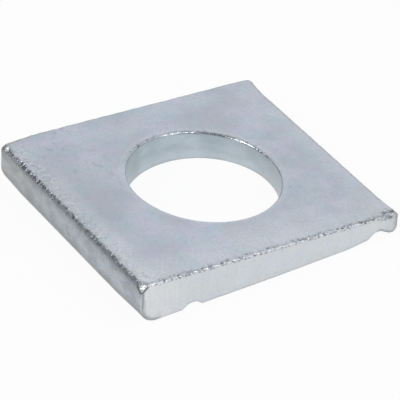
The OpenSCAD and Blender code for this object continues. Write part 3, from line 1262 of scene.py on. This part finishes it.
# %% Floor
FLOOR_REACH = 1.6
FLOOR_GAP = 0.02 * MM
FLOOR_PAINT = (0.9, 0.9, 0.9, 1)
SEEN_WHITE = 0.93
MIRRORED_WHITE = 0.75
floor_mesh = bpy.data.meshes.new("floor")
signs = [(-1, -1), (1, -1), (1, 1), (-1, 1)]
floor_corners = [(FLOOR_REACH * x, FLOOR_REACH * y, 0) for x, y in signs]
floor_mesh.from_pydata(floor_corners, [], [(0, 1, 2, 3)])
floor = bpy.data.objects.new("floor", floor_mesh)
floor.location.z = low_corner.z - FLOOR_GAP
bpy.context.scene.collection.objects.link(floor)

pale, floor_paint = new_material("pale_floor")
seen = SEEN_WHITE * floor_paint.node("ShaderNodeLightPath", output="Is Camera Ray")
for ray in ("Is Glossy Ray", "Is Transmission Ray"):
    seen = seen.larger(MIRRORED_WHITE * floor_paint.node("ShaderNodeLightPath", output=ray))
matt = floor_paint.node("ShaderNodeBsdfDiffuse", None, {"Color": FLOOR_PAINT})
white = floor_paint.node("ShaderNodeEmission", None, {"Color": (1, 1, 1, 1), "Strength": 1.0})
blend = floor_paint.node("ShaderNodeMixShader", None, {0: seen, 1: matt, 2: white})
floor_paint.node("ShaderNodeOutputMaterial", None, {"Surface": blend})
floor_mesh.materials.append(pale)
print("floor at", round(floor.location.z, 6), "m")

# %% [markdown]
# ## Light
#
# A metal part is lit by what it can see. The top of the washer mirrors the wall behind and to
# the right of it, the front side mirrors the floor, and the rounded shoulder mirrors the room
# behind and to the left. In the photograph that part of the room is dark, which draws the dark
# line along the shoulder. So the world is a soft dome, white near the horizon and grey above,
# with a dark corner at the back left and a dark gap high up at the front left. A panorama of a
# real room would be quicker, but its windows and furniture would show in the metal.

# %% Room
HORIZON_WHITE = (1, 1, 1, 1)
WALL_GREY = (0.75, 0.76, 0.78, 1)
CEILING_GREY = (0.4, 0.41, 0.43, 1)
ROOM_DARK = (0.06, 0.06, 0.065, 1)
world = bpy.data.worlds.new("studio")
bpy.context.scene.world = world
world.use_nodes = True
room = Paint(world.node_tree)
direction = room.node("ShaderNodeTexCoord", output="Generated")


def towards(paint, way):
    """How nearly a direction points this way: 1 straight at it, 0 at a right angle."""
    unit = Vector(way).normalized()
    settings = {"operation": "DOT_PRODUCT"}
    return paint.node("ShaderNodeVectorMath", settings, {0: direction, 1: unit}, "Value")


skyward = towards(room, (0, 0, 1))
dome = mix_colour(room, between(room, skyward, 0.05, 0.45), HORIZON_WHITE, WALL_GREY)
dome = mix_colour(room, between(room, skyward, 0.6, 0.95), dome, CEILING_GREY)
dark_gap = between(room, towards(room, (-0.42, -0.42, 0.8)), 0.84, 0.93)
dome = mix_colour(room, dark_gap, dome, ROOM_DARK)
dark_corner = between(room, towards(room, (-0.62, 0.74, 0.22)), 0.72, 0.93)
dome = mix_colour(room, dark_corner, dome, ROOM_DARK)
light = room.node("ShaderNodeBackground", None, {"Color": dome, "Strength": 1.0})
room.node("ShaderNodeOutputWorld", None, {"Surface": light})
print("room has", len(world.node_tree.nodes), "nodes")

# %% [markdown]
# Two soft lamps do the rest. The key lamp stands in front and draws the bright line along the
# front edge and the washer's faint shadow. The left one stands over the thick end, brightens its
# face and catches the crests of the shoulder. Both are squares of light about 0.2 m wide and
# nearly a metre away, so their reflections and shadows have soft borders.

# %% Lamps
def soft_lamp(name, way, distance, size, power):
    """A square area lamp that looks at the washer from that way."""
    data = bpy.data.lights.new(name, "AREA")
    data.shape = "SQUARE"
    data.size = size
    data.energy = power
    lamp = bpy.data.objects.new(name, data)
    lamp.location = Vector(way).normalized() * distance
    lamp.rotation_euler = Vector(way).to_track_quat("Z", "Y").to_euler()
    bpy.context.scene.collection.objects.link(lamp)
    print(name, "at", [round(number, 3) for number in lamp.location])


soft_lamp("key_softbox", (0.2, -0.6, 0.75), 0.9, 0.2, 1.35)
soft_lamp("left_softbox", (-0.71, 0.1, 0.69), 0.9, 0.24, 2.6)

# %% [markdown]
# ## Camera
#
# The angles and the distance were found by fitting the CAD section's outline and the hole's two
# edges to the ones in the photograph. The lens is long, about 284 mm on a full frame, as in most
# product pictures, and the camera leans three degrees to one side.

# %% Camera
AZIMUTH = math.radians(-34.6442)
ELEVATION = math.radians(36.4765)
ROLL = math.radians(3.0982)
LOOK_AT = Vector((-0.330, 0.173, 0.746)) * MM
DISTANCE = 467.0 * MM
SENSOR_MM = 36
LENS_MM = 284.33

back = Vector((
    math.sin(AZIMUTH) * math.cos(ELEVATION),
    -math.cos(AZIMUTH) * math.cos(ELEVATION),
    math.sin(ELEVATION),
))
level = Vector((math.cos(AZIMUTH), math.sin(AZIMUTH), 0))
upright = back.cross(level)
right = level * math.cos(ROLL) + upright * math.sin(ROLL)
up = upright * math.cos(ROLL) - level * math.sin(ROLL)

camera_data = bpy.data.cameras.new("photo_camera")
camera_data.sensor_width = SENSOR_MM
camera_data.lens = LENS_MM
camera = bpy.data.objects.new("photo_camera", camera_data)
turned = Matrix((right, up, back)).transposed().to_4x4()
camera.matrix_world = Matrix.Translation(LOOK_AT + back * DISTANCE) @ turned
bpy.context.scene.collection.objects.link(camera)
bpy.context.scene.camera = camera
bpy.context.scene.view_settings.view_transform = "Standard"
print("camera at", [round(number, 4) for number in camera.location])
